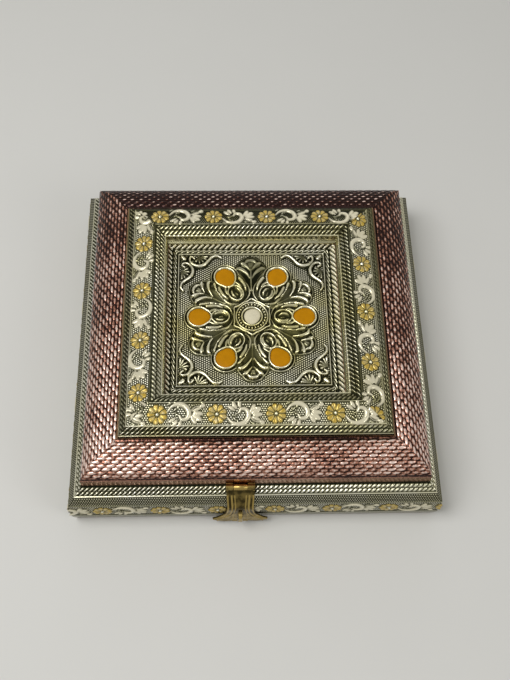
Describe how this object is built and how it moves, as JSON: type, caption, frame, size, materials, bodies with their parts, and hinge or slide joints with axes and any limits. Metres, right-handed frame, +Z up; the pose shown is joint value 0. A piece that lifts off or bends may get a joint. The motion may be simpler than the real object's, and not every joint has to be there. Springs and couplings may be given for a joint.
{
  "type": "dry fruit box",
  "caption": "Square hinged gift box for dry fruit with a stepped foil-clad lid, sunk rosette panel, velvet compartments and a fishtail hasp.",
  "frame": {"origin": "middle of the felt under the tray, on the surface it stands on", "axes": "+Z up out of the lid, -Y out of the front where the hasp is, +X to the right seen from the front"},
  "size_m": [0.2002, 0.2056, 0.0592],
  "materials": {
    "silvered_foil": "embossed, oxidised in the recesses",
    "rose_foil": "embossed, tinted rose, glossy",
    "antique_brass": "aged, satin",
    "amber_enamel": "glossy",
    "cream_enamel": "glossy",
    "felt": "matt felt",
    "velvet": "velvet pile",
    "mdf": "bare fibreboard"
  },
  "bodies": {
    "base": {"base_board": "mdf", "base_cladding_back": "silvered_foil", "base_cladding_front": "silvered_foil", "base_cladding_left": "silvered_foil", "base_cladding_right": "silvered_foil", "base_felt": "felt", "base_rail_back": "mdf", "base_rail_front": "mdf", "base_rail_left": "mdf", "base_rail_right": "mdf", "catch_plate": "antique_brass", "catch_staple": "antique_brass", "divider_cross": "velvet", "divider_long": "velvet", "hinge_pin_left": "antique_brass", "hinge_pin_right": "antique_brass", "hinge_tray_leaf_left": "antique_brass", "hinge_tray_leaf_right": "antique_brass", "lining_back": "velvet", "lining_floor": "velvet", "lining_front": "velvet", "lining_left": "velvet", "lining_right": "velvet"},
    "lid": {"centre_core": "mdf", "centre_enamel": "cream_enamel", "centre_plate": "silvered_foil", "frame_cladding_back": "silvered_foil", "frame_cladding_front": "silvered_foil", "frame_cladding_left": "silvered_foil", "frame_cladding_right": "silvered_foil", "frame_rail_back": "mdf", "frame_rail_front": "mdf", "frame_rail_left": "mdf", "frame_rail_right": "mdf", "hinge_lid_leaf_left": "antique_brass", "hinge_lid_leaf_right": "antique_brass", "latch_leaf": "antique_brass", "latch_pin": "antique_brass", "lid_board": "mdf", "lid_lining": "velvet", "lid_rail_back": "mdf", "lid_rail_front": "mdf", "lid_rail_left": "mdf", "lid_rail_right": "mdf", "petal_enamel": "amber_enamel", "rose_cladding_back": "rose_foil", "rose_cladding_front": "rose_foil", "rose_cladding_left": "rose_foil", "rose_cladding_right": "rose_foil"},
    "hasp": {"hasp": "antique_brass"}
  },
  "joints": [
    {"name": "lid_hinge", "type": "hinge", "parent": "base", "child": "lid", "pos_m": [0, 0.0935, 0.0343], "axis": [-1, 0, 0], "range_deg": [0, 105]},
    {"name": "hasp_pivot", "type": "hinge", "parent": "lid", "child": "hasp", "pos_m": [-0.0085, -0.0935, 0.0343], "axis": [-1, 0, 0], "range_deg": [0, 110]}
  ]
}
